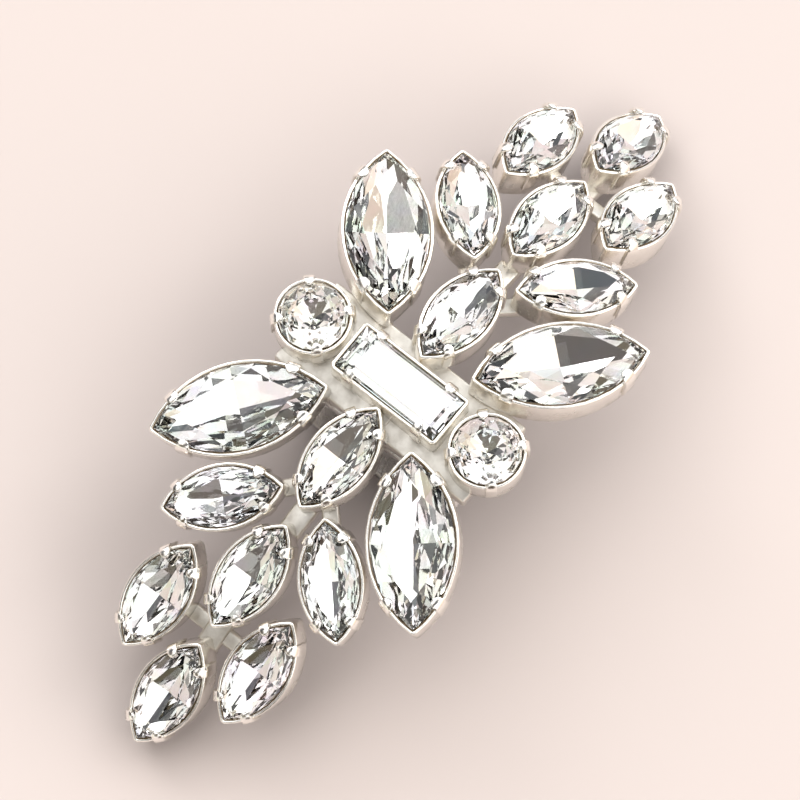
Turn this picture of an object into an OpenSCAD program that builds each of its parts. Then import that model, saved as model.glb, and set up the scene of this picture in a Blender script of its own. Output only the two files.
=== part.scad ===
// Curved crystal spray clip: cut stones in claw cups on one soldered frame, with a spring clip behind.
// X runs along the spray, Y across it, and Z up through the stones. The tips and the clip stand on z = 0.

/* [Spray layout] */
// Radius that the spray is bent to, measured at the stones' girdles
bend_r = 44; // [42:1:48]
// Distance along the bend from the middle to the inner marquise of a wing
inner_u = 6.5; // [6.5:0.1:6.8]
// Distance along the bend to the middle marquise of a wing
middle_u = 16.5; // [16.3:0.1:16.8]
// Distance along the bend to the tip marquise
tip_u = 26.5; // [26.3:0.1:27]
// Distance along the bend to the splayed pair
splay_u = 13.4; // [13.2:0.1:13.6]
// Sideways place of the splayed pair
splay_v = 4.7; // [4.6:0.1:5]
// Angle between the splayed pair and the long axis
splay_turn = 43; // [40:1:46]
// Distance along the bend to the outer pair
outer_u = 21.4; // [21.2:0.1:21.8]
// Sideways place of the outer pair
outer_v = 4.3; // [4.2:0.1:4.6]
// Distance along the bend to the large marquises
large_u = 8; // [7.9:0.1:8.2]
// Sideways place of the large marquises
large_v = 7.5; // [7.4:0.1:7.8]
// Angle between the large marquises and the long axis
large_turn = 39; // [37:1:41]
// Sideways place of the round stones
round_v = 7.5; // [7.5:0.1:7.8]

/* [Stones] */
// Length of a small marquise
small_len = 8; // [7.6:0.1:8.1]
// Width of a small marquise
small_w = 4; // [3.6:0.1:4.1]
// Height of a small marquise's crown
small_crown = 0.7; // [0.6:0.05:0.8]
// Depth of a small marquise below its girdle
small_pavilion = 0.85; // [0.75:0.05:1.2]
// Length of a large marquise
large_len = 11.8; // [11.4:0.1:12]
// Width of a large marquise
large_w = 5.8; // [5.4:0.1:5.9]
// Height of a large marquise's crown
large_crown = 1; // [0.8:0.05:1.1]
// Depth of a large marquise below its girdle
large_pavilion = 1.2; // [1:0.05:1.5]
// Diameter of a round stone
round_d = 4.8; // [4.4:0.1:4.8]
// Height of a round stone's crown
round_crown = 1; // [0.9:0.05:1.1]
// Depth of a round stone below its girdle
round_pavilion = 1.4; // [1.2:0.05:1.5]
// Length of the baguette, across the spray
baguette_len = 8.4; // [8:0.1:8.4]
// Width of the baguette, along the spray
baguette_w = 3.4; // [3:0.1:3.4]
// Height of the baguette's crown
baguette_crown = 0.5; // [0.4:0.05:0.55]
// Depth of the baguette below its girdle
baguette_pavilion = 1.3; // [1:0.05:1.4]
// Thickness of every girdle
girdle_t = 0.2; // [0.15:0.05:0.25]

/* [Setting frame] */
// Clearance between a girdle and its cup
seat_gap = 0.05; // [0.04:0.01:0.08]
// Thickness of a cup's wall
cup_wall = 0.25; // [0.2:0.05:0.3]
// Depth of a cup from the girdle's middle to its back
cup_depth = 2.1; // [2:0.1:2.3]
// Thickness of a cup's floor
cup_floor = 0.4; // [0.3:0.05:0.4]
// Width of the rim left round the window in a cup's floor
back_rim = 0.7; // [0.5:0.1:0.9]
// Width of a claw on a small stone
claw_w = 0.8; // [0.6:0.1:1]
// Width of a claw on a large stone
large_claw_w = 1.1; // [0.8:0.1:1.3]
// Width of the curved stem
stem_w = 1.6; // [1.2:0.1:2]
// Thickness of the curved stem
stem_t = 1; // [0.9:0.1:1.1]
// Width of the straight branches
branch_w = 1.2; // [0.8:0.1:1.5]
// Thickness of the straight branches
branch_t = 0.7; // [0.6:0.1:0.8]
// Width of the flat back plate, along the spray
plate_w = 6.8; // [6:0.2:7]
// Length of the flat back plate, across the spray
plate_len = 16.4; // [15:0.2:17]
// Thickness of the back plate below the cups
plate_t = 0.9; // [0.8:0.1:1]

/* [Spring clip] */
// Width of the spring clip
clip_w = 7; // [6:0.5:8]
// Thickness of the spring clip's strip
clip_t = 0.8; // [0.6:0.1:0.9]
// Gap between the spring clip and the back plate
clip_gap = 0.08; // [0.06:0.01:0.15]
// Height of the slot at the clip's mouth
mouth_gap = 1.2; // [0.8:0.1:1.6]
// Distance from the middle to the front end of the clip
clip_front = 7.4; // [7:0.1:7.6]
// Distance from the middle to the start of the rear fold
clip_rear = 3.4; // [3:0.1:3.6]

/* [Hidden] */

$fn = 64;
left = -1;
right = 1;
front = -1;
back = 1;

// Points round a girdle, and the table's share of the girdle's length and width
girdle_sides = 16;
table_share_len = 0.68;
table_share_w = 0.6;
round_table_share = 0.55;
// Insets of the baguette's steps, below and above its girdle
step_below = 0.3;
step_above = 0.25;
// Places of the claws and of a branch's outer end, as shares of the stone's length from its middle
claw_place = 0.35;
branch_reach = 0.32;
// Height of a cup's rim above the middle of the girdle
wall_top = 0.12;
// Claw: how far it stands out of the cup and reaches in over the stone, and its heights from the girdle
claw_proud = 0.22;
claw_reach = 0.4;
claw_foot = -1.5;
claw_shoulder = 0.3;
claw_top = 0.84;
claw_under = 0.57;
claw_seat = 0.16;
// Depth to which bars are let into the cups, and how the stem sits inside the cups' backs and past the tips
embed = 0.15;
stem_inset = 0.35;
stem_past = 3;

// A marquise outline is two arcs of this radius, whose centres lie this far from the middle
function arc_r(len, w) = (len * len + w * w) / (4 * w);
function arc_shift(len, w) = arc_r(len, w) - w / 2;
// Half length of the same outline moved outwards by off
function half_len(len, w, off) = sqrt(pow(arc_r(len, w) + off, 2) - pow(arc_shift(len, w), 2));
function bend_angle(u) = u / bend_r * 180 / PI;

cup_off = seat_gap + cup_wall;
// Height of the middle girdle, with the back corners of the tip cups on z = 0
tip_angle = bend_angle(tip_u);
tip_drop = bend_r * (1 - cos(tip_angle))
    + half_len(small_len, small_w, cup_off) * sin(tip_angle) + cup_depth * cos(tip_angle);
girdle_z = tip_drop;
plate_bottom = girdle_z - cup_depth - plate_t;
clip_top = plate_bottom - clip_gap;
stem_outer_r = bend_r - cup_depth + stem_inset;

// Puts a piece on the bend: u along it, v across it, turned about its own normal
module on_bend(u, v, turn) {
    b = bend_angle(u);
    translate([bend_r * sin(b), v, girdle_z + bend_r * (cos(b) - 1)])
        rotate([0, b, 0]) rotate([0, 0, turn]) children();
}

// Points of a marquise from tip to tip and back, and of a circle, at a height
function marquise_point(len, w, share) =
    let (r = arc_r(len, w), a = asin(len / 2 / r) * (1 - 4 * share))
    [r * sin(a), r * cos(a) - arc_shift(len, w)];
function marquise_ring(len, w, kx, ky, z, count) = [
    for (i = [0:count - 1])
        let (half = count / 2, k = i < half ? i : i - half, s = i < half ? 1 : -1,
            p = marquise_point(len, w, k / count))
        [s * kx * p[0], s * ky * p[1], z]
];
function round_ring(d, z, count) = [
    for (i = [0:count - 1]) [d / 2 * cos(360 * i / count), d / 2 * sin(360 * i / count), z]
];
function box_ring(len, w, z) = [
    for (c = [[1, 1], [-1, 1], [-1, -1], [1, -1]]) [c[0] * len / 2, c[1] * w / 2, z]
];

// Cut stone: a flat table, stars and halved kites down to the girdle, and a pavilion to one central point.
// The rim has twice as many points as the table.
module brilliant(table, rim, depth) {
    n = len(rim);
    m = len(table);
    upper = [for (p = rim) [p[0], p[1], girdle_t / 2]];
    lower = [for (p = rim) [p[0], p[1], -girdle_t / 2]];
    first_upper = m;
    first_lower = m + n;
    culet = m + 2 * n;
    table_face = [[for (i = [m - 1:-1:0]) i]];
    stars = [for (j = [0:m - 1]) [j, (j + 1) % m, first_upper + 2 * j + 1]];
    kites_ahead = [for (j = [0:m - 1]) [j, first_upper + 2 * j + 1, first_upper + 2 * j]];
    kites_behind = [for (j = [0:m - 1]) [j, first_upper + 2 * j, first_upper + (2 * j + n - 1) % n]];
    girdle = [
        for (i = [0:n - 1])
            [first_upper + i, first_upper + (i + 1) % n, first_lower + (i + 1) % n, first_lower + i]
    ];
    pavilion = [for (i = [0:n - 1]) [first_lower + i, first_lower + (i + 1) % n, culet]];
    polyhedron(
        concat(table, upper, lower, [[0, 0, -girdle_t / 2 - depth]]),
        concat(table_face, stars, kites_ahead, kites_behind, girdle, pavilion));
}

module marquise(len, w, crown, pavilion) {
    color("aliceblue") brilliant(
        marquise_ring(len, w, table_share_len, table_share_w, girdle_t / 2 + crown, girdle_sides / 2),
        marquise_ring(len, w, 1, 1, 0, girdle_sides),
        pavilion);
}

module small_marquise() { marquise(small_len, small_w, small_crown, small_pavilion); }

module large_marquise(side, end) {
    on_bend(side * large_u, end * large_v, side * end * large_turn)
        marquise(large_len, large_w, large_crown, large_pavilion);
}

module inner_marquise(side) { on_bend(side * inner_u, 0, 0) small_marquise(); }

module middle_marquise(side) { on_bend(side * middle_u, 0, 0) small_marquise(); }

module tip_marquise(side) { on_bend(side * tip_u, 0, 0) small_marquise(); }

module splayed_marquise(side, end) {
    on_bend(side * splay_u, end * splay_v, side * end * splay_turn) small_marquise();
}

module outer_marquise(side, end) { on_bend(side * outer_u, end * outer_v, 0) small_marquise(); }

module round_stone(end) {
    color("aliceblue") on_bend(0, end * round_v, 0) brilliant(
        round_ring(round_d * round_table_share, girdle_t / 2 + round_crown, girdle_sides / 2),
        round_ring(round_d, 0, girdle_sides),
        round_pavilion);
}

// Step cut stone: rectangles stacked from the keel to the table, each inset from the girdle's size
module baguette_stone() {
    edge = girdle_t / 2;
    insets = [
        [3 * step_below, -edge - baguette_pavilion], [1.5 * step_below, -edge - baguette_pavilion / 2],
        [0, -edge], [0, edge],
        [step_above, edge + baguette_crown / 2], [2 * step_above, edge + baguette_crown]
    ];
    last = len(insets) - 1;
    points = [for (s = insets, p = box_ring(baguette_len - 2 * s[0], baguette_w - 2 * s[0], s[1])) p];
    walls = [
        for (r = [0:last - 1], i = [0:3])
            [4 * r + i, 4 * r + 4 + i, 4 * r + 4 + (i + 1) % 4, 4 * r + (i + 1) % 4]
    ];
    color("aliceblue") on_bend(0, 0, 90)
        polyhedron(points, concat([[0, 1, 2, 3]], walls, [[for (i = [3:-1:0]) 4 * last + i]]));
}

// Outline of a marquise moved outwards by off, as two true arcs
module marquise_outline(len, w, off) {
    intersection() {
        translate([0, arc_shift(len, w)]) circle(arc_r(len, w) + off);
        translate([0, -arc_shift(len, w)]) circle(arc_r(len, w) + off);
    }
}

// Claw in section, from its root outside the wall to its point over the crown; x = 0 is the girdle
module claw(w) {
    root = seat_gap + cup_wall / 2;
    outside = cup_off + claw_proud;
    rotate([90, 0, 0]) linear_extrude(w, center = true) polygon([
        [root, claw_foot], [outside, claw_foot + claw_proud], [outside, claw_shoulder],
        [cup_off, (claw_shoulder + claw_top) / 2], [-claw_reach / 2, claw_top], [-claw_reach, claw_top],
        [-claw_reach, claw_under], [seat_gap, claw_seat], [root, 0]
    ]);
}

// A cup is an outer form, hollowed from its floor up, with a window through the floor
module hollowed(above = cup_depth + wall_top, clear = 1) {
    difference() {
        translate([0, 0, -cup_depth]) linear_extrude(above) children(0);
        translate([0, 0, cup_floor - cup_depth]) linear_extrude(above) children(1);
        translate([0, 0, -cup_depth - clear]) linear_extrude(cup_floor + 2 * clear) children(2);
    }
}

module marquise_cup(len, w, claws) {
    lean = asin(claw_place * len / arc_r(len, w));
    hollowed() {
        marquise_outline(len, w, cup_off);
        marquise_outline(len, w, seat_gap);
        marquise_outline(len, w, -back_rim);
    }
    for (flip = [0, 180], a = [-lean, lean])
        rotate([0, 0, flip]) translate([0, -arc_shift(len, w), 0]) rotate([0, 0, 90 + a])
            translate([arc_r(len, w), 0, 0]) claw(claws);
}

module round_cup() {
    r = round_d / 2;
    hollowed() {
        circle(r + cup_off);
        circle(r + seat_gap);
        circle(r - back_rim);
    }
    for (a = [45:90:315]) rotate([0, 0, a]) translate([r, 0, 0]) claw(claw_w);
}

module baguette_cup() {
    module outline(off) { square([baguette_len + 2 * off, baguette_w + 2 * off], center = true); }
    hollowed() {
        outline(cup_off);
        outline(seat_gap);
        outline(-back_rim);
    }
    for (x = [-claw_place, claw_place] * baguette_len, flip = [-90, 90])
        translate([x, 0, 0]) rotate([0, 0, flip]) translate([baguette_w / 2, 0, 0]) claw(claw_w);
}

module small_cup() { marquise_cup(small_len, small_w, claw_w); }

// Straight branch on the back of a cup, from one place along its length to another
module branch(from, to) {
    translate([from, -branch_w / 2, embed - cup_depth - branch_t]) cube([to - from, branch_w, branch_t]);
}

// The curved strip that carries the cups on the long axis
module stem() {
    reach = tip_angle + stem_past;
    translate([0, 0, girdle_z - bend_r]) rotate([90, 0, 0])
        rotate_extrude(angle = 2 * reach, start = 90 - reach)
            translate([stem_outer_r - stem_t, -stem_w / 2]) square([stem_t, stem_w]);
}

// Turns a branch half round on the left wing, so that its inner end still points to the middle
module facing_middle(side) { rotate([0, 0, side == left ? 180 : 0]) children(); }

module wing(side) {
    for (u = [inner_u, middle_u, tip_u]) on_bend(side * u, 0, 0) small_cup();
    for (end = [front, back]) {
        on_bend(side * splay_u, end * splay_v, side * end * splay_turn) {
            small_cup();
            facing_middle(side) branch(-splay_v / sin(splay_turn), branch_reach * small_len);
        }
        on_bend(side * outer_u, end * outer_v, 0) small_cup();
        on_bend(side * large_u, end * large_v, side * end * large_turn) {
            marquise_cup(large_len, large_w, large_claw_w);
            facing_middle(side) branch(-large_len / 2, branch_reach * large_len);
        }
    }
    on_bend(side * outer_u, 0, 90) branch(-outer_v - branch_w, outer_v + branch_w);
}

module setting_frame() {
    color("silver") union() {
        wing(left);
        wing(right);
        for (end = [front, back]) on_bend(0, end * round_v, 0) round_cup();
        on_bend(0, 0, 90) baguette_cup();
        stem();
        translate([-plate_w / 2, -plate_len / 2, plate_bottom]) cube([plate_w, plate_len, plate_t + embed]);
    }
}

// Spring clip: top strip, rear fold, flat foot, and a riser that ends in a rolled lip under the mouth
module spring_clip() {
    fold_r = clip_top / 2;
    foot_r = 2.5 * clip_t;
    lip_r = 1;
    lip_z = clip_top - clip_t - mouth_gap - lip_r;
    riser_in = 2 * lip_r - clip_front;
    riser_out = riser_in - clip_t;
    // A bent stretch of the strip of outer radius r, cut to the box from corner that is size across
    module bend(r, corner, size) {
        intersection() {
            difference() {
                circle(r);
                circle(r - clip_t);
            }
            translate(corner * r) square(size * r);
        }
    }
    color("lightgray") rotate([90, 0, 90]) linear_extrude(clip_w, center = true) {
        translate([-clip_front, clip_top - clip_t]) square([clip_front + clip_rear, clip_t]);
        translate([clip_rear, fold_r]) bend(fold_r, [0, -1], [1, 2]);
        translate([riser_out + foot_r, 0]) square([clip_rear - riser_out - foot_r, clip_t]);
        translate([riser_out + foot_r, foot_r]) bend(foot_r, [-1, -1], [1, 1]);
        translate([riser_out, foot_r]) square([clip_t, lip_z - foot_r]);
        translate([riser_in - lip_r, lip_z]) bend(lip_r, [-1, 0], [2, 1]);
    }
}

setting_frame();
spring_clip();
baguette_stone();
round_stone(front);  // round_stone_front
round_stone(back);  // round_stone_back
large_marquise(left, front);  // large_marquise_left_front
large_marquise(left, back);  // large_marquise_left_back
large_marquise(right, front);  // large_marquise_right_front
large_marquise(right, back);  // large_marquise_right_back
inner_marquise(left);  // inner_marquise_left
inner_marquise(right);  // inner_marquise_right
middle_marquise(left);  // middle_marquise_left
middle_marquise(right);  // middle_marquise_right
tip_marquise(left);  // tip_marquise_left
tip_marquise(right);  // tip_marquise_right
splayed_marquise(left, front);  // splayed_marquise_left_front
splayed_marquise(left, back);  // splayed_marquise_left_back
splayed_marquise(right, front);  // splayed_marquise_right_front
splayed_marquise(right, back);  // splayed_marquise_right_back
outer_marquise(left, front);  // outer_marquise_left_front
outer_marquise(left, back);  // outer_marquise_left_back
outer_marquise(right, front);  // outer_marquise_right_front
outer_marquise(right, back);  // outer_marquise_right_back
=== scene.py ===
import math

import bpy
import numpy as np
from mathutils import Matrix, Vector


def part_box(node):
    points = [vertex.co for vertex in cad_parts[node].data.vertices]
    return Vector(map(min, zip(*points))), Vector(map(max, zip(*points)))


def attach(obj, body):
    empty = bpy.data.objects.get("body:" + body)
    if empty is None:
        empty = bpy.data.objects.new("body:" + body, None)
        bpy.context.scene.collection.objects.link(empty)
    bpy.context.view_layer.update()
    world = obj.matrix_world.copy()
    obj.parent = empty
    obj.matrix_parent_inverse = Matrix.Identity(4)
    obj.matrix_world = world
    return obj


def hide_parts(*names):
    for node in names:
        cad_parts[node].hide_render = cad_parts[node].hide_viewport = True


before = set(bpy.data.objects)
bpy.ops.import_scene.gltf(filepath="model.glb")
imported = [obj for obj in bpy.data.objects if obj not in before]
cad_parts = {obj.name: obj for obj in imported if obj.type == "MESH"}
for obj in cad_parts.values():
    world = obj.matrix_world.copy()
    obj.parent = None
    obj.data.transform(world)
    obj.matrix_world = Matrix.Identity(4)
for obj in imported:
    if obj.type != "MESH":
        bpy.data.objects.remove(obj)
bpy.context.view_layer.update()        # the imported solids: 21 stones, the soldered setting frame and the spring clip
print("frame loaded,", len(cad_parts), "nodes")

mm = 0.001
white = (1, 1, 1, 1)
draws = np.random.default_rng(27)

# Layout of the spray, with the same driving sizes as the solids: places along and across the bend, and turns
# in degrees
spray = {
    "bendRadius": 44 * mm,
    "innerAlong": 6.5 * mm,
    "middleAlong": 16.5 * mm,
    "tipAlong": 26.5 * mm,
    "splayedAlong": 13.4 * mm,
    "splayedAcross": 4.7 * mm,
    "splayedTurn": 43,
    "outerAlong": 21.4 * mm,
    "outerAcross": 4.3 * mm,
    "outerTurn": 0,
    "largeAlong": 8 * mm,
    "largeAcross": 7.5 * mm,
    "largeTurn": 39,
    "roundAcross": 7.5 * mm,
}

# Cut of each kind of stone: how far the table lies inside the girdle at the sides and at the tips, the share
# of the depth that the facets next to the girdle take, above and below, and how many mains lie below and at
# which point of the girdle the first of them stands
cuts = {
    "small": {
        "length": 8 * mm, "width": 4 * mm, "crown": 0.7 * mm, "pavilion": 0.85 * mm, "girdle": 0.2 * mm,
        "sideInset": 0.8 * mm, "tipInset": 1.3 * mm, "upperShare": 0.5, "lowerShare": 0.4,
        "mains": 4, "firstMain": 2,
    },
    "large": {
        "length": 11.8 * mm, "width": 5.8 * mm, "crown": 1 * mm, "pavilion": 1.2 * mm, "girdle": 0.2 * mm,
        "sideInset": 1.1 * mm, "tipInset": 1.8 * mm, "upperShare": 0.5, "lowerShare": 0.3,
        "mains": 4, "firstMain": 2,
    },
    "round": {
        "length": 4.8 * mm, "width": 4.8 * mm, "crown": 1 * mm, "pavilion": 1.4 * mm, "girdle": 0.2 * mm,
        "sideInset": 1.08 * mm, "tipInset": 1.08 * mm, "upperShare": 0.5, "lowerShare": 0.75,
        "mains": 8, "firstMain": 0,
    },
    "baguette": {"length": 8.4 * mm, "width": 3.4 * mm, "girdle": 0.2 * mm},
}
girdlePoints = 16        # points round the girdle of every brilliant, two to each main facet above

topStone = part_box("round_stone_front")[1].z
girdleHeight = topStone - cuts["round"]["crown"] - cuts["round"]["girdle"] / 2


def turnedAboutZ(points, angle):
    # Points turned about the Z axis by an angle in radians
    right, up = math.cos(angle), math.sin(angle)
    return points @ np.array([[right, -up, 0], [up, right, 0], [0, 0, 1]]).T


def placeOnBend(points, along, across, turn):
    # Turned about its own normal, tilted by along / radius, and set on the bend's arc
    radius = spray["bendRadius"]
    tilt = along / radius
    lean = np.array([[math.cos(tilt), 0, math.sin(tilt)], [0, 1, 0], [-math.sin(tilt), 0, math.cos(tilt)]])
    spot = np.array([radius * math.sin(tilt), across, girdleHeight + radius * (math.cos(tilt) - 1)])
    return turnedAboutZ(points, math.radians(turn)) @ lean.T + spot


def listStones():
    # Each stone's node name with its kind, its place along and across the bend, and its turn
    spots = {"baguette_stone": ("baguette", 0, 0, 90)}
    for end, endWord in ((-1, "front"), (1, "back")):
        spots["round_stone_" + endWord] = ("round", 0, end * spray["roundAcross"], 0)
    for side, sideWord in ((-1, "left"), (1, "right")):
        for row in ("inner", "middle", "tip"):
            spots[row + "_marquise_" + sideWord] = ("small", side * spray[row + "Along"], 0, 0)
        for end, endWord in ((-1, "front"), (1, "back")):
            for row, kind in (("large", "large"), ("splayed", "small"), ("outer", "small")):
                along, across = side * spray[row + "Along"], end * spray[row + "Across"]
                turn = side * end * spray[row + "Turn"]
                spots["_".join((row, "marquise", sideWord, endWord))] = (kind, along, across, turn)
    return spots


stones = listStones()


# Mesh helpers

cornerSigns = np.array([[1, 1], [-1, 1], [-1, -1], [1, -1]])      # corners of a rectangle, in order round it


def unit(vectors):
    # Each row's vector brought to a length of one
    return vectors / np.linalg.norm(vectors, axis=1, keepdims=True)


def ramp(values, start, end):
    # 0 up to the start, 1 from the end on, and a straight rise between them
    return np.clip((values - start) / (end - start), 0, 1)


def gridQuads(rows, columns, rowsWrap=False):
    # Quads between neighbouring rows of a grid whose columns always wrap round
    row = np.arange(rows if rowsWrap else rows - 1)[:, None]
    column = np.arange(columns)[None, :]
    nextRow, nextColumn = (row + 1) % rows, (column + 1) % columns
    corners = (row * columns + column, row * columns + nextColumn,
               nextRow * columns + nextColumn, nextRow * columns + column)
    return np.stack(corners, -1).reshape(-1, 4).tolist()


def roundCorners(corners, radii, steps, closed=False):
    # Each corner becomes an arc that leaves both runs at a tangent; its centre lies on the inner bisector
    corners, radii = np.asarray(corners, float), np.asarray(radii, float)
    middle = corners if closed else corners[1:-1]
    before = np.roll(corners, 1, 0) if closed else corners[:-2]
    after = np.roll(corners, -1, 0) if closed else corners[2:]
    radius = (radii if closed else radii[1:-1])[:, None]
    arriving, leaving = unit(middle - before), unit(after - middle)
    halfTurn = np.arccos(np.clip(np.sum(arriving * leaving, 1), -1, 1))[:, None] / 2
    inward, forward = unit(leaving - arriving), unit(leaving + arriving)
    centre = middle + inward * radius / np.cos(halfTurn)
    angle = (np.linspace(-1, 1, steps)[None, :] * halfTurn)[..., None]
    spoke = np.sin(angle) * forward[:, None] - np.cos(angle) * inward[:, None]
    arcs = (centre[:, None] + radius[..., None] * spoke).reshape(-1, corners.shape[1])
    return arcs if closed else np.concatenate([corners[:1], arcs, corners[-1:]])


def roundedBox(halfWide, halfHigh, radius, steps):
    # Rectangles with quarter circles at their corners: sign * (half size - radius) + radius * (cos, sin)
    signs = np.repeat(cornerSigns, steps, 0)
    turns = (np.arange(len(cornerSigns))[:, None] + np.linspace(0, 1, steps)).ravel() * math.pi / 2
    return (signs[:, 0] * (halfWide - radius) + radius * np.cos(turns),
            signs[:, 1] * (halfHigh - radius) + radius * np.sin(turns))


def resample(path, stations):
    # Points at the given shares of the path's length
    steps = np.linalg.norm(np.diff(path, axis=0), axis=1)
    reach = np.concatenate([[0], np.cumsum(steps)])
    return np.stack([np.interp(stations * reach[-1], reach, path[:, k]) for k in range(3)], 1)


def stripRings(path, across, halfWidth, halfThick, corner, steps):
    # A rounded rectangle carried along a path: its width lies across, its thickness square to both
    outward = unit(np.cross(np.gradient(path, axis=0), across))
    wide, high = roundedBox(halfWidth[:, None], halfThick[:, None], corner[:, None], steps)
    return path[:, None] + wide[..., None] * np.array(across) + high[..., None] * outward[:, None]


def closedSweep(rings):
    # Points and faces of a swept surface with a flat cap at each end
    rows, columns = rings.shape[:2]
    first = list(range(columns))
    last = [(rows - 1) * columns + k for k in first]
    return rings.reshape(-1, 3), gridQuads(rows, columns) + [first[::-1], last]


# Rounding of the bars and of the clip: the steps round each long edge and over each end, how far past the
# end's rounding the next station lies at least, as a multiple of it, and the least corner left at the very
# end, as a share of the edge radius
softEdge = {"cornerSteps": 4, "endSteps": 4, "clearance": 1.02, "leastCorner": 0.02}


def softEnds(path, halfWidth, halfThick, edge):
    # Stations of a strip whose two ends are rounded over by the edge radius: along by radius * (1 - cos), and
    # drawn in by radius * (1 - sin)
    steps = np.linalg.norm(np.diff(path, axis=0), axis=1)
    length = steps.sum()
    turn = np.linspace(0, math.pi / 2, softEdge["endSteps"])
    start, inset = edge * (1 - np.cos(turn)) / length, edge * (1 - np.sin(turn))
    clear = start[-1] * softEdge["clearance"]
    reach = np.concatenate([[0], np.cumsum(steps)]) / length
    inside = reach[(reach > clear) & (reach < 1 - clear)]
    stations = np.concatenate([start, inside, 1 - start[::-1]])
    insets = np.concatenate([inset, np.zeros(len(inside)), inset[::-1]])
    corner = np.maximum(edge - insets, edge * softEdge["leastCorner"])
    return resample(path, stations), halfWidth - insets, halfThick - insets, corner


softAngle = 40           # degrees between two faces of metal, past which the edge between them stays sharp


def makePiece(name, points, faces, materials, nodes, materialOf=None, smoothAngle=None, marks=None):
    # One mesh in its place, with its marks as values on its points, and the CAD nodes that it stands in for
    mesh = bpy.data.meshes.new(name)
    mesh.from_pydata(np.asarray(points).tolist(), [], faces)
    for material in materials:
        mesh.materials.append(material)
    if materialOf is not None:
        mesh.polygons.foreach_set("material_index", np.asarray(materialOf, np.int32))
    for attribute, values in (marks or {}).items():
        layer = mesh.attributes.new(attribute, "FLOAT", "POINT")
        layer.data.foreach_set("value", np.asarray(values, np.float32))
    if smoothAngle:
        mesh.polygons.foreach_set("use_smooth", np.ones(len(mesh.polygons), bool))
        mesh.set_sharp_from_angle(angle=math.radians(smoothAngle))
    mesh.validate()
    mesh.update()
    piece = bpy.data.objects.new(name, mesh)
    bpy.context.scene.collection.objects.link(piece)
    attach(piece, "root")
    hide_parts(*nodes)


# Shader helpers

def addNode(tree, kind, inputs=None, **settings):
    # A node with its settings, and with each input linked to a socket or given its value
    made = tree.nodes.new(kind)
    for key, value in settings.items():
        setattr(made, key, value)
    for key, value in (inputs or {}).items():
        if isinstance(value, bpy.types.NodeSocket):
            tree.links.new(value, made.inputs[key])
        else:
            made.inputs[key].default_value = value
    return made


def mapTo(tree, value, start, end, low=0.0, high=1.0):
    # A value's range from start to end, mapped to the range from low to high
    return addNode(tree, "ShaderNodeMapRange", {
        "Value": value, "From Min": start, "From Max": end, "To Min": low, "To Max": high}).outputs[0]


def mixColors(tree, factor, first, second):
    # A Mix node keeps its two colours in sockets 6 and 7, and gives the mixed one from socket 2
    return addNode(tree, "ShaderNodeMix", {0: factor, 6: first, 7: second}, data_type="RGBA").outputs[2]


def mixValues(tree, factor, first, second):
    # A Mix node keeps its two values in sockets 2 and 3
    return addNode(tree, "ShaderNodeMix", {0: factor, 2: first, 3: second}, data_type="FLOAT").outputs[0]


def calculate(tree, operation, *values):
    # What a Math node makes of two or three values or sockets
    return addNode(tree, "ShaderNodeMath", dict(enumerate(values)), operation=operation).outputs[0]


def newGroup(name, inputs, outputs):
    # An empty group with its named sockets: the group, what it is given and what it puts out
    group = bpy.data.node_groups.new(name, "ShaderNodeTree")
    for label, kind, value in inputs:
        group.interface.new_socket(label, in_out="INPUT", socket_type=kind).default_value = value
    for label, kind in outputs:
        group.interface.new_socket(label, in_out="OUTPUT", socket_type=kind)
    return group, group.nodes.new("NodeGroupInput").outputs, group.nodes.new("NodeGroupOutput").inputs


def useGroup(tree, group, inputs):
    # The outputs of a group that is placed in a material with its own values
    return addNode(tree, "ShaderNodeGroup", inputs, node_tree=group).outputs


def newMaterial(name):
    # A material with its Principled shader at the output
    material = bpy.data.materials.new(name)
    material.use_nodes = True
    tree = material.node_tree
    tree.nodes.clear()
    shader = tree.nodes.new("ShaderNodeBsdfPrincipled")
    output = tree.nodes.new("ShaderNodeOutputMaterial")
    tree.links.new(shader.outputs["BSDF"], output.inputs["Surface"])
    return material, tree, shader


# Polishing lines, and slow patches of more and of less polish: the patches' scale is a share of the lines'
# own, and patchSpread is the part of their range that roughness is spread over
lineNoise = {"detail": 3.0, "patchScale": 0.25, "patchDetail": 4.0, "patchSpread": (0.35, 0.65)}


def buildPolishLines():
    # Fine polishing lines: noise stretched along one axis, and a slow noise for patches
    group, given, result = newGroup(
        "polishLines",
        [("Scale", "NodeSocketFloat", 3000.0), ("Stretch", "NodeSocketFloat", 12.0)],
        [("Lines", "NodeSocketFloat"), ("Patches", "NodeSocketFloat")])
    where = addNode(group, "ShaderNodeTexCoord").outputs["Object"]
    stretch = addNode(group, "ShaderNodeCombineXYZ", {"X": 1.0, "Y": given["Stretch"], "Z": given["Stretch"]})
    squeezed = addNode(group, "ShaderNodeVectorMath", {0: where, 1: stretch.outputs[0]}, operation="MULTIPLY")
    lines = addNode(group, "ShaderNodeTexNoise", {
        "Vector": squeezed.outputs[0], "Scale": given["Scale"], "Detail": lineNoise["detail"]})
    slow = calculate(group, "MULTIPLY", given["Scale"], lineNoise["patchScale"])
    patches = addNode(group, "ShaderNodeTexNoise", {
        "Vector": where, "Scale": slow, "Detail": lineNoise["patchDetail"]})
    group.links.new(lines.outputs["Fac"], result["Lines"])
    group.links.new(patches.outputs["Fac"], result["Patches"])
    return group


# Blots of tarnish, with painted shade in the recesses: a noise, the part of its range that counts, and how far
# the recesses are painted darker, as tarnish and shade, at the two ends of that part
tarnishShadeNoise = {"scale": 900.0, "detail": 5.0, "roughness": 0.62, "spread": (0.42, 0.68), "amount": (0.15, 1.0)}


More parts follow.
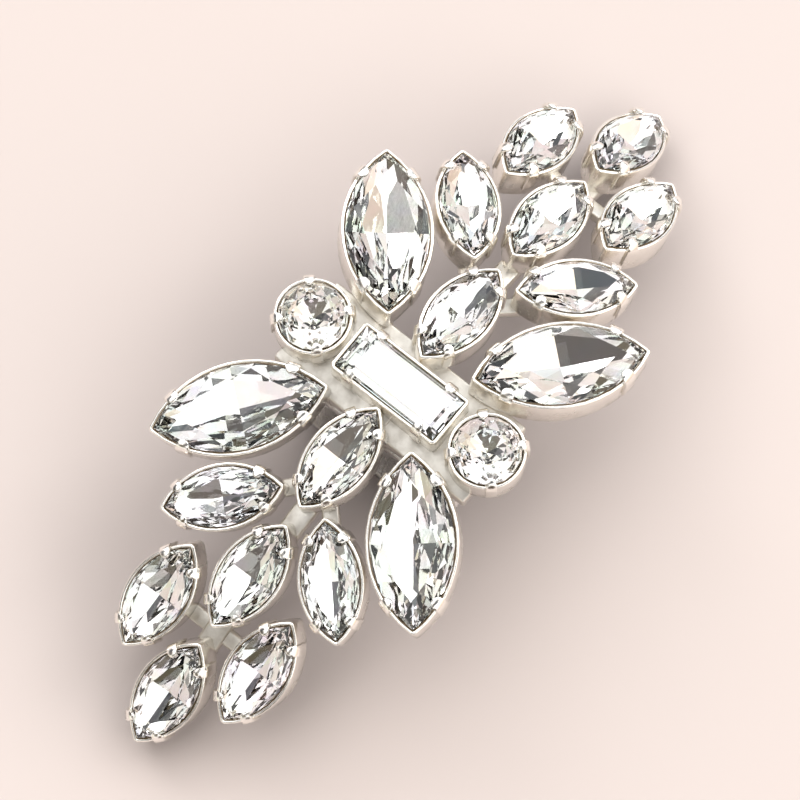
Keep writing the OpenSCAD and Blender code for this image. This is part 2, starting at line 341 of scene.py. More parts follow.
def buildPlateWearAndShade():
    # Plated colour that darkens where the recess mark is high, as tarnish with painted shade, and brightens where the
    # edge mark is high
    group, given, result = newGroup(
        "plateWearAndShade",
        [("Plate", "NodeSocketColor", white), ("Bright", "NodeSocketColor", white),
         ("TarnishShade", "NodeSocketColor", (0, 0, 0, 1)), ("Amount", "NodeSocketFloat", 0.5)],
        [("Color", "NodeSocketColor"), ("Dull", "NodeSocketFloat")])
    where = addNode(group, "ShaderNodeTexCoord").outputs["Object"]
    recess = addNode(group, "ShaderNodeAttribute", attribute_name="recess").outputs["Fac"]
    edge = addNode(group, "ShaderNodeAttribute", attribute_name="edge").outputs["Fac"]
    blots = addNode(group, "ShaderNodeTexNoise", {
        "Vector": where, "Scale": tarnishShadeNoise["scale"], "Detail": tarnishShadeNoise["detail"],
        "Roughness": tarnishShadeNoise["roughness"]})
    mottle = mapTo(group, blots.outputs["Fac"], *tarnishShadeNoise["spread"], *tarnishShadeNoise["amount"])
    dull = calculate(group, "MULTIPLY", calculate(group, "MULTIPLY", mottle, recess), given["Amount"])
    tarnishedAndShaded = mixColors(group, dull, given["Plate"], given["TarnishShade"])
    group.links.new(mixColors(group, edge, tarnishedAndShaded, given["Bright"]), result["Color"])
    group.links.new(dull, result["Dull"])
    return group


polishLines = buildPolishLines()
plateWearAndShade = buildPlateWearAndShade()


def polish(tree, look):
    # The polishing lines at a finish's own scale and stretch
    return useGroup(tree, polishLines, {"Scale": look["lineScale"], "Stretch": look["stretch"]})


def grooves(tree, lines, look):
    # Normals that follow the polishing lines to their depth
    return addNode(tree, "ShaderNodeBump", {
        "Height": lines["Lines"], "Strength": look["bump"], "Distance": look["lineDepth"]}).outputs[0]


# Plating of the cups, of the duller bars behind them, whose darker colours are painted shade, and of the clip:
# its colours, how far recesses tarnish, darken with painted shade and dull, its roughness from patch to
# patch, and its fine polishing lines
metalLook = {
    "plate": (0.94, 0.91, 0.855, 1), "bright": (0.99, 0.97, 0.935, 1), "tarnishShade": (0.42, 0.36, 0.29, 1),
    "tarnishShadeAmount": 0.42, "dulling": 0.35, "rough": (0.08, 0.24), "lineScale": 2600.0, "stretch": 9.0,
    "bump": 0.15, "lineDepth": 0.04 * mm,
}
# The bars' plating is the cups' made duller and darker: the darker colours are painted shade under the cups
shadedBarLook = {
    "plate": (0.74, 0.71, 0.66, 1), "bright": (0.90, 0.88, 0.84, 1), "tarnishShade": (0.32, 0.28, 0.23, 1),
    "tarnishShadeAmount": 0.55, "dulling": 0.3, "rough": (0.24, 0.42), "lineScale": 2200.0, "stretch": 6.0,
    "bump": 0.35, "lineDepth": 0.05 * mm,
}
steelLook = {
    "plate": (0.66, 0.65, 0.64, 1), "bright": (0.80, 0.79, 0.78, 1), "tarnishShade": (0.34, 0.32, 0.30, 1),
    "tarnishShadeAmount": 0.35, "dulling": 0.35, "rough": (0.16, 0.34), "lineScale": 3600.0, "stretch": 9.0,
    "bump": 0.3, "lineDepth": 0.04 * mm,
}


def makeMetal(name, look):
    # Worn metal: its roughness is that of its patches, plus the dullness of the recesses times the dulling
    material, tree, shader = newMaterial(name)
    lines = polish(tree, look)
    # Its colour is the plating, painted darker where the recess mark is high: tarnish with painted shade
    wornAndShaded = useGroup(tree, plateWearAndShade, {
        "Plate": look["plate"], "Bright": look["bright"], "TarnishShade": look["tarnishShade"],
        "Amount": look["tarnishShadeAmount"]})
    grain = mapTo(tree, lines["Patches"], *lineNoise["patchSpread"], *look["rough"])
    rough = calculate(tree, "MULTIPLY_ADD", wornAndShaded["Dull"], look["dulling"], grain)
    tree.links.new(wornAndShaded["Color"], shader.inputs["Base Color"])
    tree.links.new(rough, shader.inputs["Roughness"])
    tree.links.new(grooves(tree, lines, look), shader.inputs["Normal"])
    shader.inputs["Metallic"].default_value = 1.0
    return material


# Cut crystal: its index of refraction, and its roughness from patch to patch
glassLook = {
    "color": white, "ior": 1.56, "rough": (0.0, 0.025), "patchSpread": (0.45, 0.75), "lineScale": 1500.0,
    "stretch": 5.0,
}


def makeGlass():
    # Clear glass that is a trace less polished in patches
    material, tree, shader = newMaterial("cutCrystal")
    lines = polish(tree, glassLook)
    rough = mapTo(tree, lines["Patches"], *glassLook["patchSpread"], *glassLook["rough"])
    tree.links.new(rough, shader.inputs["Roughness"])
    shader.inputs["Base Color"].default_value = glassLook["color"]
    shader.inputs["Transmission Weight"].default_value = 1.0
    shader.inputs["IOR"].default_value = glassLook["ior"]
    return material


# Foil behind the stones: its mirror, the lacquer on its back, a faint tint that varies over it, which is
# painted fire, the colours of light split by the glass, and its roughness on both sides
foilLook = {
    "mirror": (0.95, 0.95, 0.94, 1), "lacquer": (0.62, 0.52, 0.36, 1), "paintedFire": 0.18, "paintedFireScale": 700.0,
    "paintedFireDetail": 1.0, "roughInside": 0.02, "roughOutside": (0.3, 0.55), "lineScale": 2000.0, "stretch": 2.0,
    "bump": 0.05, "lineDepth": 0.01 * mm,
}


def makeFoil():
    # Silver foil seen through the stone, with faint painted fire over it, and the golden lacquer over it seen from
    # behind
    material, tree, shader = newMaterial("mirrorFoil")
    where = addNode(tree, "ShaderNodeTexCoord").outputs["Object"]
    throughStone = addNode(tree, "ShaderNodeNewGeometry").outputs["Backfacing"]
    # A faint coloured noise mixed into the silver: painted fire, the colours of light split by the glass
    paintedFireNoise = addNode(tree, "ShaderNodeTexNoise", {
        "Vector": where, "Scale": foilLook["paintedFireScale"], "Detail": foilLook["paintedFireDetail"]})
    silverAndPaintedFire = mixColors(tree, foilLook["paintedFire"], foilLook["mirror"], paintedFireNoise.outputs["Color"])
    color = mixColors(tree, throughStone, foilLook["lacquer"], silverAndPaintedFire)
    lines = polish(tree, foilLook)
    coat = mapTo(tree, lines["Patches"], *lineNoise["patchSpread"], *foilLook["roughOutside"])
    rough = mixValues(tree, throughStone, coat, foilLook["roughInside"])
    tree.links.new(color, shader.inputs["Base Color"])
    tree.links.new(rough, shader.inputs["Roughness"])
    tree.links.new(grooves(tree, lines, foilLook), shader.inputs["Normal"])
    shader.inputs["Metallic"].default_value = 1.0
    return material


platedMetal = makeMetal("platedMetal", metalLook)
shadedBarMetal = makeMetal("shadedBarMetal", shadedBarLook)
clipSteel = makeMetal("clipSteel", steelLook)
cutCrystal = makeGlass()
mirrorFoil = makeFoil()
print("materials ready")


# Stones

def sideArc(cut):
    # Radius of each side's arc, from its chord and height, and how far its centre lies past the long axis
    radius = (cut["length"] ** 2 + cut["width"] ** 2) / (4 * cut["width"])
    return radius, radius - cut["width"] / 2


def girdleOutline(cut):
    # Points on two arcs that meet at the tips, equally spaced by angle, with the outline's normals
    arc, shift = sideArc(cut)
    index, half = np.arange(girdlePoints), girdlePoints // 2
    facing = np.where(index < half, 1, -1)
    spread = math.asin(min(1, cut["length"] / 2 / arc)) * (1 - 2 * (index % half) / half)
    points = facing[:, None] * np.stack([arc * np.sin(spread), arc * np.cos(spread) - shift], 1)
    normals = facing[:, None] * np.stack([np.sin(spread), np.cos(spread)], 1)
    tips = index % half == 0
    normals[tips] = np.stack([facing[tips], 0 * facing[tips]], 1)
    return points, normals


def facetMeets(mains, normals, insets, share):
    # Where neighbouring main facets cross at a share of their height: both satisfy n.p = n.g - share * inset
    level = np.sum(normals * mains, 1) - share * insets
    pairs = np.stack([normals, np.roll(normals, -1, 0)], 1)
    levels = np.stack([level, np.roll(level, -1)], 1)[..., None]
    return np.linalg.solve(pairs, levels)[..., 0]


def brilliantCut(cut):
    # A table, eight stars, eight mains and the upper halves above; below, mains that meet in one point,
    # and between each two of them the lower halves, which fan out from where the mains cross.
    # The foil covers all that lies below the crown, the girdle too
    outline, normals = girdleOutline(cut)
    corners, cornerNormals = outline[::2], normals[::2]
    rim, sides, count, first = len(outline), len(corners), cut["mains"], cut["firstMain"]
    insets = cut["sideInset"] + (cut["tipInset"] - cut["sideInset"]) * cornerNormals[:, 0] ** 2
    fan = rim // count
    mains = (np.arange(count) * fan + first) % rim
    reach = np.sum(outline[mains] * normals[mains], 1)
    half, top, bottom = cut["girdle"] / 2, cut["crown"], cut["pavilion"]
    upperMeets = facetMeets(corners, cornerNormals, insets, cut["upperShare"])
    lowerMeets = facetMeets(outline[mains], normals[mains], reach, cut["lowerShare"])
    levels = [
        (corners - insets[:, None] * cornerNormals, half + top),
        (upperMeets, half + top * cut["upperShare"]),
        (outline, half),
        (outline, -half),
        (lowerMeets, -half - bottom * cut["lowerShare"]),
        (np.zeros((1, 2)), -half - bottom),
    ]
    points = np.concatenate([np.column_stack([flat, np.full(len(flat), height)]) for flat, height in levels])
    table, star, upper, lower, meet, point = np.cumsum([0, sides, sides, rim, rim, count])
    i, j, k = np.arange(sides), np.arange(rim), np.arange(count)
    nextJ = (j + 1) % rim
    crownFaces = [
        [table + i],
        np.stack([table + i, star + i, table + (i + 1) % sides], 1),
        np.stack([upper + 2 * i, star + i, table + i, star + (i - 1) % sides], 1),
        np.stack([upper + 2 * i, upper + 2 * i + 1, star + i], 1),
        np.stack([upper + 2 * i + 1, upper + (2 * i + 2) % rim, star + i], 1),
    ]
    foiledFaces = [
        np.stack([upper + j, lower + j, lower + nextJ, upper + nextJ], 1),
        np.stack([lower + nextJ, lower + j, meet + (j - first) % rim // fan], 1),
        np.stack([lower + mains, meet + (k - 1) % count, np.full(count, point), meet + k], 1),
    ]
    above = [face.tolist() for group in crownFaces for face in group]
    below = [face.tolist() for group in foiledFaces for face in group]
    return points, above + below, [0] * len(above) + [1] * len(below)


baguetteSteps = {   # inset from the girdle and height of each step, in mm, from the keel up
    "below": [(0.95, -1.3), (0.62, -0.95), (0.3, -0.52)],
    "above": [(0.24, 0.24), (0.5, 0.5)],
}


def stepCut(cut):
    # Rectangles stacked from the keel to the table, each inset from the girdle's size; the foil ends at the
    # crown
    half = cut["girdle"] / 2
    levels = [(inset * mm, height * mm - half) for inset, height in baguetteSteps["below"]]
    levels += [(0, -half), (0, half)]
    levels += [(inset * mm, height * mm + half) for inset, height in baguetteSteps["above"]]
    sides = len(cornerSigns)
    size = np.array([cut["length"], cut["width"]]) / 2
    rings = np.array([
        np.column_stack([cornerSigns * (size - inset), np.full(sides, height)]) for inset, height in levels])
    points, faces = closedSweep(rings)
    foiled = sides * (len(baguetteSteps["below"]) + 1)
    walls = len(faces) - 2
    return points, faces, [1] * foiled + [0] * (walls - foiled) + [1, 0]


stoneTilt = {"tilt": 0.5, "turn": 0.25}     # degrees by which hand-set stones depart from true


def handSet(points):
    # A stone's small tilt and turn in its cup, drawn at random
    most = np.radians([stoneTilt["tilt"], stoneTilt["tilt"], stoneTilt["turn"]])
    tiltX, tiltY, turn = draws.uniform(-1, 1, 3) * most
    skew = np.array([[1, -turn, tiltY], [turn, 1, -tiltX], [-tiltY, tiltX, 1]])
    return points @ skew.T


def makeStones():
    # Each stone in its place, with glass above and foil below
    for name, (kind, along, across, turn) in stones.items():
        points, faces, materialOf = (stepCut if kind == "baguette" else brilliantCut)(cuts[kind])
        placed = placeOnBend(handSet(points), along, across, turn)
        makePiece("cut_" + name, placed, faces, [cutCrystal, mirrorFoil], [name], materialOf)


makeStones()
print("stones cut,", len(stones))


# Claw cups

# The wall round a stone, the floor with its window, and the round edges of their section, whose radii, in mm,
# run from the wall's foot over the rim to the window. The edge mark fades out at wearDepth below the rim, and
# the recess mark, tarnish with painted shade, grows with the depth, so the wall is painted darker towards its foot
cup = {
    "seatGap": 0.05 * mm, "wall": 0.25 * mm, "depth": 2.1 * mm, "floor": 0.4 * mm, "backRim": 0.7 * mm,
    "rimTop": 0.12 * mm, "tipBase": -0.05 * mm, "smallTip": 0.15 * mm,
    "radii": [0.14, 0.11, 0.11, 0.12, 0.13, 0.13], "cornerSteps": 4, "roundPoints": 40, "sidePoints": 15,
    "tipPoints": 6, "wearDepth": 0.16 * mm, "wear": 0.8, "recessGain": 1.2,
}


def cupOutline(kind, offsets):
    # The girdle's outline moved outwards: parallel arcs with a round nose at each tip or corner
    cut, off = cuts[kind], offsets[:, None]
    if kind == "round":
        angle = np.linspace(0, 2 * math.pi, cup["roundPoints"], endpoint=False)
        radius = cut["width"] / 2 + off
        return np.stack([radius * np.cos(angle), radius * np.sin(angle)], -1)
    nose = np.maximum(off - cup["tipBase"], cup["smallTip"])
    if kind == "baguette":
        box = roundedBox(cut["length"] / 2 + off, cut["width"] / 2 + off, nose, cup["tipPoints"])
        return np.stack(box, -1)
    arc, shift = sideArc(cut)
    swing = np.arccos(shift / (arc + off - nose))
    tipAt = (arc + off - nose) * np.sin(swing)
    side = np.linspace(-1, 1, cup["sidePoints"]) * swing
    tip = np.linspace(-1, 1, cup["tipPoints"] + 2)[1:-1] * (math.pi / 2 - swing)
    wall = np.stack([-(arc + off) * np.sin(side), (arc + off) * np.cos(side) - shift], -1)
    nosePoints = np.stack([tipAt + nose * np.cos(tip), nose * np.sin(tip)], -1)
    return np.concatenate([nosePoints, wall, -nosePoints, -wall], 1)


def cupWall(kind):
    # A closed section of rim, wall, floor and window edge, carried round the outline
    gap, outer = cup["seatGap"], cup["seatGap"] + cup["wall"]
    low, inside = -cup["depth"], cup["floor"] - cup["depth"]
    corners = [(outer, low), (outer, cup["rimTop"]), (gap, cup["rimTop"]), (gap, inside),
               (-cup["backRim"], inside), (-cup["backRim"], low)]
    section = roundCorners(corners, np.array(cup["radii"]) * mm, cup["cornerSteps"], closed=True)
    flat = cupOutline(kind, section[:, 0])
    height = np.broadcast_to(section[:, 1][:, None, None], flat.shape[:2] + (1,))
    points = np.concatenate([flat, height], -1)
    rows, columns = points.shape[:2]
    level = np.repeat(section[:, 1], columns)
    # The recess mark paints the cup darker with depth: tarnish with painted shade
    marks = {
        "edge": ramp(level, cup["rimTop"] - cup["wearDepth"], cup["rimTop"]) * cup["wear"],
        "recess": ramp(-level * cup["recessGain"], 0, cup["depth"]),
    }
    return points.reshape(-1, 3), gridQuads(rows, columns, rowsWrap=True), marks


# A claw: where it stands, as a share of the stone's length or in degrees round it; its line in mm, outwards
# from the girdle and up; and the shares of its length where it changes, from its root in the wall to its tip
claw = {
    "place": 0.35, "roundTurns": (45, 135, 225, 315),
    "small": 0.85 * mm, "large": 1.1 * mm, "thick": 0.24 * mm,
    "path": [(0.39, -1.45), (0.39, 0.2), (0.12, 0.52), (-0.36, 0.66)], "bends": [0, 0.2, 0.25, 0],
    "bendSteps": 6, "cornerSteps": 3, "cornerShare": 0.85, "bodyStations": 12, "tongueStations": 8,
    "rootThick": 0.35, "rootTo": 0.078, "taperFrom": 0.5, "tipWidth": 0.8, "swellFrom": 0.6, "tipSwell": 0.4,
    "tongueFrom": 0.82, "leastTongue": 0.02,
    "wearFrom": 0.55, "wearTo": 0.85, "wear": 0.9, "recessTo": 0.5,
}


def clawTab(width):
    # A flat tab that leaves the wall, turns over the girdle and ends on the crown in a round tongue, whose
    # width is the square root of 1 - t * t, with t from 0 at its start to 1 at its end
    line = roundCorners(np.array(claw["path"]) * mm, np.array(claw["bends"]) * mm, claw["bendSteps"])
    path = np.column_stack([line[:, 0], np.zeros(len(line)), line[:, 1]])
    start = claw["tongueFrom"]
    body = np.linspace(0, start, claw["bodyStations"])
    end = start + (1 - start) * np.sin(np.linspace(0, math.pi / 2, claw["tongueStations"]))
    share = np.concatenate([body, end[1:]])
    taper = 1 - (1 - claw["tipWidth"]) * ramp(share, claw["taperFrom"], 1)
    tongue = np.sqrt(np.maximum(1 - ramp(share, start, 1) ** 2, claw["leastTongue"]))
    root = claw["rootThick"] + (1 - claw["rootThick"]) * ramp(share, 0, claw["rootTo"])
    swell = 1 + claw["tipSwell"] * ramp(share, claw["swellFrom"], 1)
    halfWidth = width / 2 * taper * tongue
    halfThick = claw["thick"] / 2 * np.sqrt(tongue) * root * swell
    corner = np.minimum(halfWidth, halfThick) * claw["cornerShare"]
    rings = stripRings(resample(path, share), (0, 1, 0), halfWidth, halfThick, corner, claw["cornerSteps"])
    points, faces = closedSweep(rings)
    edge = ramp(share, claw["wearFrom"], claw["wearTo"]) * claw["wear"]
    # The recess mark paints the claw darker towards its root in the wall: tarnish with painted shade
    recess = 1 - ramp(share, 0, claw["recessTo"])
    around = rings.shape[1]
    return points, faces, {"edge": np.repeat(edge, around), "recess": np.repeat(recess, around)}


def clawPlaces(kind):
    # Foot and outward angle of each claw on the girdle's outline
    cut = cuts[kind]
    if kind == "round":
        return [(cut["width"] / 2 * math.cos(a), cut["width"] / 2 * math.sin(a), a)
                for a in np.radians(claw["roundTurns"])]
    if kind == "baguette":
        return [(x * claw["place"] * cut["length"], y * cut["width"] / 2, y * math.pi / 2)
                for x in (-1, 1) for y in (-1, 1)]
    arc, shift = sideArc(cut)
    lean = math.asin(claw["place"] * cut["length"] / arc)
    return [(-y * arc * math.sin(a), y * (arc * math.cos(a) - shift), y * math.pi / 2 + a)
            for y in (-1, 1) for a in (-lean, lean)]


def joinShells(shells):
    # Several closed shells as one mesh, with their marks end to end
    pointSets, faceSets, markSets = zip(*shells)
    starts = np.cumsum([0] + [len(points) for points in pointSets])
    faces = [[k + start for k in face] for start, group in zip(starts, faceSets) for face in group]
    marks = {key: np.concatenate([marks[key] for marks in markSets]) for key in markSets[0]}
    return np.concatenate(pointSets), faces, marks


def makeCups():
    # Each stone's cup, and its four claws as one piece
    for name, (kind, along, across, turn) in stones.items():
        tab, faces, marks = clawTab(claw["large"] if kind == "large" else claw["small"])
        claws = joinShells([(turnedAboutZ(tab, angle) + np.array([x, y, 0]), faces, marks)
                            for x, y, angle in clawPlaces(kind)])
        for word, (points, shellFaces, shellMarks) in (("cup_", cupWall(kind)), ("claws_", claws)):
            placed = placeOnBend(points, along, across, turn)
            makePiece(word + name, placed, shellFaces, [platedMetal], ["setting_frame"],
                      smoothAngle=softAngle, marks=shellMarks)


makeCups()
print("claw cups made")


# Stem, branches and back plate

# How far the bars are let into the cups' backs (stemInset, embed), the degrees by which the stem runs past
# the tip stones' middles, and how far out a branch reaches from the middle of its cup, as a share of the
# stone's length
bars = {
    "stemWidth": 1.6 * mm, "stemThick": 1 * mm, "stemInset": 0.35 * mm, "stemPast": 3, "stemStations": 61,
    "branchWidth": 1.2 * mm, "branchThick": 0.7 * mm, "branchReach": 0.32, "branchStations": 5,
    "plateWidth": 6.8 * mm, "plateLength": 16.4 * mm, "plateThick": 0.9 * mm, "plateStations": 9,
    # wear and recess are the bars' marks all over; the recess mark paints them darker, tarnish with painted shade
    "embed": 0.15 * mm, "edge": 0.18 * mm, "wear": 0.15, "recess": 0.8,
}


def softBar(path, across, width, thick, look):
    # A flat bar with every edge rounded by the same radius, with its edge and recess marks the same all over
    stations, halfWidth, halfThick, corner = softEnds(path, width / 2, thick / 2, look["edge"])
    rings = stripRings(stations, across, halfWidth, halfThick, corner, softEdge["cornerSteps"])
    points, faces = closedSweep(rings)
    marks = {"edge": np.full(len(points), look["wear"]), "recess": np.full(len(points), look["recess"])}
    return points, faces, marks


def makeBar(name, shell):
    # A piece of the soldered frame behind the cups
    points, faces, marks = shell
    makePiece(name, points, faces, [shadedBarMetal], ["setting_frame"],
              smoothAngle=softAngle, marks=marks)


def makeStem():
    # An arc round the bend's own centre, let into the cups' backs: radius * (sin, cos) of the angle along it
    reach = spray["tipAlong"] / spray["bendRadius"] + math.radians(bars["stemPast"])
    radius = spray["bendRadius"] - cup["depth"] + bars["stemInset"] - bars["stemThick"] / 2
    angle = np.linspace(-reach, reach, bars["stemStations"])
    height = girdleHeight - spray["bendRadius"] + radius * np.cos(angle)
    path = np.stack([radius * np.sin(angle), 0 * angle, height], 1)
    makeBar("curved_stem", softBar(path, (0, 1, 0), bars["stemWidth"], bars["stemThick"], bars))


def branch(start, end, spot):
    # A straight bar on the back of a cup, between two places along the cup's own length
    middle = bars["embed"] - cup["depth"] - bars["branchThick"] / 2
    path = np.linspace((start, 0, middle), (end, 0, middle), bars["branchStations"])
    points, faces, marks = softBar(path, (0, 1, 0), bars["branchWidth"], bars["branchThick"], bars)
    return placeOnBend(points, *spot), faces, marks


def makeBranches():
    # On each wing a branch behind each splayed and each large stone, and a bar across behind the outer pair
    smallReach = bars["branchReach"] * cuts["small"]["length"]
    largeReach = bars["branchReach"] * cuts["large"]["length"]
    stemSide = -spray["splayedAcross"] / math.sin(math.radians(spray["splayedTurn"]))
    runs = {"splayed": (stemSide, smallReach), "large": (-cuts["large"]["length"] / 2, largeReach)}
    for side, sideWord in ((-1, "left"), (1, "right")):
        for end, endWord in ((-1, "front"), (1, "back")):
            for row, (inner, outer) in runs.items():
                turn = side * end * spray[row + "Turn"] + (180 if side < 0 else 0)
                spot = (side * spray[row + "Along"], end * spray[row + "Across"], turn)
                makeBar("_".join((row, "branch", sideWord, endWord)), branch(inner, outer, spot))
        reach = spray["outerAcross"] + bars["branchWidth"]
        makeBar("cross_branch_" + sideWord, branch(-reach, reach, (side * spray["outerAlong"], 0, 90)))


def makeBackPlate():
    # A straight flat bar across the middle, let into the cups above it
    bottom = girdleHeight - cup["depth"] - bars["plateThick"]
    thick = bars["plateThick"] + bars["embed"]
    reach, middle = bars["plateLength"] / 2, bottom + thick / 2
    path = np.linspace((0, -reach, middle), (0, reach, middle), bars["plateStations"])
    makeBar("back_plate", softBar(path, (-1, 0, 0), bars["plateWidth"], thick, bars))
    return bottom


makeStem()
makeBranches()
plateBottom = makeBackPlate()
print("stem, branches and back plate made")


# Spring clip

# Its top strip lies a gap under the plate, from front to where the fold begins at rear, both along Y from the
# middle; its mouth is the slot between that strip and the rolled lip
springClip = {
    "width": 7 * mm, "thick": 0.8 * mm, "gap": 0.08 * mm, "front": 7.4 * mm, "rear": 3.4 * mm,
    "mouth": 1.2 * mm, "footRadius": 2 * mm, "lipRadius": 1 * mm, "edge": 0.16 * mm,
    "bendSteps": 14, "leastStep": 0.0001 * mm, "wear": 0.1, "recess": 0.6,
}


def makeSpringClip():
    # One strip bent into a fold behind, a flat foot, a riser and a rolled lip under the mouth
    half, top = springClip["thick"] / 2, plateBottom - springClip["gap"]
    foldRadius = top / 2 - half
    footRadius, lipRadius = springClip["footRadius"] - half, springClip["lipRadius"] - half
    lipHeight = top - springClip["thick"] - springClip["mouth"] - half
    fold = springClip["rear"] + foldRadius
    riser = 2 * springClip["lipRadius"] - springClip["front"] - half
    lipEnd = riser - 2 * lipRadius
    corners = [(-springClip["front"], top - half), (fold, top - half), (fold, half), (riser, half),
               (riser, lipHeight), (lipEnd, lipHeight), (lipEnd, lipHeight - lipRadius)]
    radii = [0, foldRadius, foldRadius, footRadius, lipRadius, lipRadius, 0]
    line = roundCorners(corners, radii, springClip["bendSteps"])
    apart = np.linalg.norm(np.diff(line, axis=0), axis=1) > springClip["leastStep"]
    line = line[np.concatenate([[True], apart])]
    path = np.column_stack([np.zeros(len(line)), line])
    points, faces, marks = softBar(path, (1, 0, 0), springClip["width"], springClip["thick"], springClip)
    makePiece("bent_spring_clip", points, faces, [clipSteel], ["spring_clip"],
              smoothAngle=softAngle, marks=marks)


makeSpringClip()
print("spring clip bent")


# Floor, light and camera

# The floor, whose mottle multiplies its colour by something between two values
stage = {
    "size": 3.0, "height": -0.02 * mm, "color": (0.77, 0.67, 0.635), "mottle": (0.98, 1.015),
    "mottleScale": 6.0, "mottleDetail": 3.0, "roughness": 0.6,
}


def makeFloor():
    # A pale mottled sheet, a hair below the part, that is clear when it is seen from below
    material, tree, shader = newMaterial("paleFloor")
    where = addNode(tree, "ShaderNodeTexCoord").outputs["Object"]
    cloud = addNode(tree, "ShaderNodeTexNoise", {
        "Vector": where, "Scale": stage["mottleScale"], "Detail": stage["mottleDetail"]})
    low, high = ([c * k for c in stage["color"]] + [1] for k in stage["mottle"])
    tree.links.new(mixColors(tree, cloud.outputs["Fac"], low, high), shader.inputs["Base Color"])
    shader.inputs["Roughness"].default_value = stage["roughness"]
    fromBelow = addNode(tree, "ShaderNodeNewGeometry").outputs["Backfacing"]
    clear = addNode(tree, "ShaderNodeBsdfTransparent").outputs[0]
    sheet = addNode(tree, "ShaderNodeMixShader", {0: fromBelow, 1: shader.outputs[0], 2: clear})
    tree.links.new(sheet.outputs[0], tree.nodes["Material Output"].inputs["Surface"])
    mesh = bpy.data.meshes.new("studio_floor")
    corners = [(x * stage["size"] / 2, y * stage["size"] / 2, stage["height"]) for x, y in -cornerSigns]
    mesh.from_pydata(corners, [], [(0, 1, 2, 3)])
    mesh.materials.append(material)
    floor = bpy.data.objects.new("studio_floor", mesh)
    bpy.context.scene.collection.objects.link(floor)


# The photograph's view: the direction from the part to the camera, and the one that is up in the image
view = {
    "toward": Vector((-0.2147, -0.1783, 0.9603)), "imageUp": Vector((0.7478, 0.6024, 0.2791)),
    "distance": 0.6, "frameWidth": 54 * mm, "sensor": 36.0, "target": Vector((0, 0, 8 * mm)),
    "clips": (0.01, 10),
}


def cameraAxes():
    # The camera's own back, right and up, with up made square to back
    back = view["toward"].normalized()
    up = (view["imageUp"] - back * view["imageUp"].dot(back)).normalized()
    return back, up.cross(back), up


def makeCamera():
    # It looks at the target from its distance, with frameWidth across the image there
    back, right, up = cameraAxes()
    data = bpy.data.cameras.new("photo_camera")
    data.sensor_width = view["sensor"]
    data.lens = view["sensor"] * view["distance"] / view["frameWidth"]
    data.clip_start, data.clip_end = view["clips"]
    camera = bpy.data.objects.new("photo_camera", data)
    turn = Matrix((right, up, back)).transposed().to_4x4()
    camera.matrix_world = Matrix.Translation(view["target"] + back * view["distance"]) @ turn
    bpy.context.scene.collection.objects.link(camera)
    bpy.context.scene.camera = camera


# Each soft box: the direction that it stands in, its distance, size, power and colour
softBoxes = {
    "key_light": ((0.75, -0.25, 0.62), 1.0, 0.45, 3.0, (1.0, 0.985, 0.96)),
    "fill_light": ((0.25, 0.8, 0.55), 1.1, 0.5, 1.5, (0.97, 0.985, 1.0)),
}


def makeLights():
    # Square soft boxes that face the part and that the camera itself doesn't see
    for name, (direction, distance, size, power, color) in softBoxes.items():
        data = bpy.data.lights.new(name, "AREA")
        data.shape, data.size, data.energy, data.color = "SQUARE", size, power, color
        lamp = bpy.data.objects.new(name, data)
        aim = Vector(direction).normalized()
        turn = aim.to_track_quat("Z", "Y").to_matrix().to_4x4()
        lamp.matrix_world = Matrix.Translation(aim * distance) @ turn
        lamp.visible_camera = False
        bpy.context.scene.collection.objects.link(lamp)


# Sky round the stones: its colour above and its dim warm one at the horizon, the heights between which they
# blend, and cards that stand so many degrees to the right of the camera and above it, each with its half
# width in degrees and its colour; the dark ones draw the dark facets, the pale ones tint. A card fades over
# softEdge degrees on either side of its edge
sky = {
    "color": (1.0, 0.99, 0.97, 1), "strength": 1.6, "backdrop": (0.80, 0.79, 0.785, 1), "softEdge": 1.5,
    "horizon": (0.40, 0.31, 0.26, 1), "fade": (-0.1, 0.5),
    "cards": [
        (-10, -10, 12, (0.05, 0.04, 0.035)), (10, 5, 16, (0.045, 0.05, 0.055)),
        (10, -55, 20, (0.09, 0.07, 0.055)), (-30, -30, 18, (0.10, 0.085, 0.06)),
        (-60, 0, 18, (0.10, 0.09, 0.08)), (-60, 35, 18, (0.09, 0.09, 0.10)),
        (50, 50, 18, (0.14, 0.15, 0.16)), (-40, 95, 18, (0.14, 0.14, 0.14)),
        (75, -20, 25, (1.0, 0.90, 0.80)), (20, 80, 22, (0.88, 0.94, 1.0)), (-75, -50, 25, (0.94, 1.0, 0.88)),
    ],
}


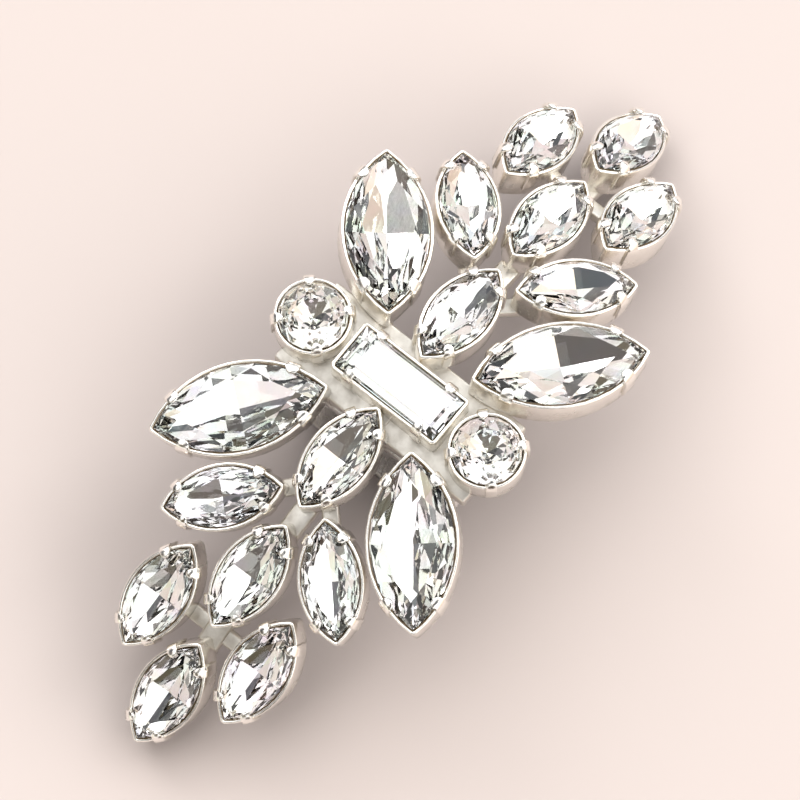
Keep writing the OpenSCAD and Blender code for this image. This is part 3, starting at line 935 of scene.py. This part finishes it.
def cardDirection(right, up):
    # The camera's direction turned by so many degrees towards the image's right and top
    toward, imageRight, imageUp = cameraAxes()
    aside = (imageRight * right + imageUp * up) / math.hypot(right, up)
    swing = math.radians(math.hypot(right, up))
    return toward * math.cos(swing) + aside * math.sin(swing)


def makeSky():
    # The sky's colour at each height, times the colours of the cards that stand there; what the camera itself
    # sees past the floor is a plain backdrop
    world = bpy.data.worlds.new("studio_sky")
    bpy.context.scene.world = world
    world.use_nodes = True
    tree = world.node_tree
    tree.nodes.clear()
    heading = addNode(tree, "ShaderNodeTexCoord").outputs["Generated"]
    height = addNode(tree, "ShaderNodeSeparateXYZ", {0: heading}).outputs["Z"]
    light = mixColors(tree, mapTo(tree, height, *sky["fade"]), sky["horizon"], sky["color"])
    for right, up, width, color in sky["cards"]:
        facing = addNode(tree, "ShaderNodeVectorMath", {0: heading, 1: cardDirection(right, up)},
                         operation="DOT_PRODUCT").outputs["Value"]
        outside, inside = (math.cos(math.radians(width + k * sky["softEdge"])) for k in (1, -1))
        card = mixColors(tree, mapTo(tree, facing, outside, inside), white, (*color, 1))
        light = addNode(tree, "ShaderNodeVectorMath", {0: light, 1: card}, operation="MULTIPLY").outputs[0]
    dome = addNode(tree, "ShaderNodeBackground", {"Color": light, "Strength": sky["strength"]})
    plain = addNode(tree, "ShaderNodeBackground", {"Color": sky["backdrop"], "Strength": 1.0})
    seen = addNode(tree, "ShaderNodeLightPath").outputs["Is Camera Ray"]
    mixed = addNode(tree, "ShaderNodeMixShader", {0: seen, 1: dome.outputs[0], 2: plain.outputs[0]})
    output = addNode(tree, "ShaderNodeOutputWorld")
    tree.links.new(mixed.outputs[0], output.inputs["Surface"])


makeFloor()
makeCamera()
makeLights()
makeSky()

bounces = {"all": 12, "glossy": 9, "transmission": 10}      # of light: in all, off mirrors and through glass
scene = bpy.context.scene
scene.view_settings.view_transform = "Standard"
scene.cycles.max_bounces = bounces["all"]
scene.cycles.glossy_bounces = bounces["glossy"]
scene.cycles.transmission_bounces = bounces["transmission"]
scene.cycles.caustics_reflective = False
scene.cycles.caustics_refractive = False
print("floor, light and camera set")
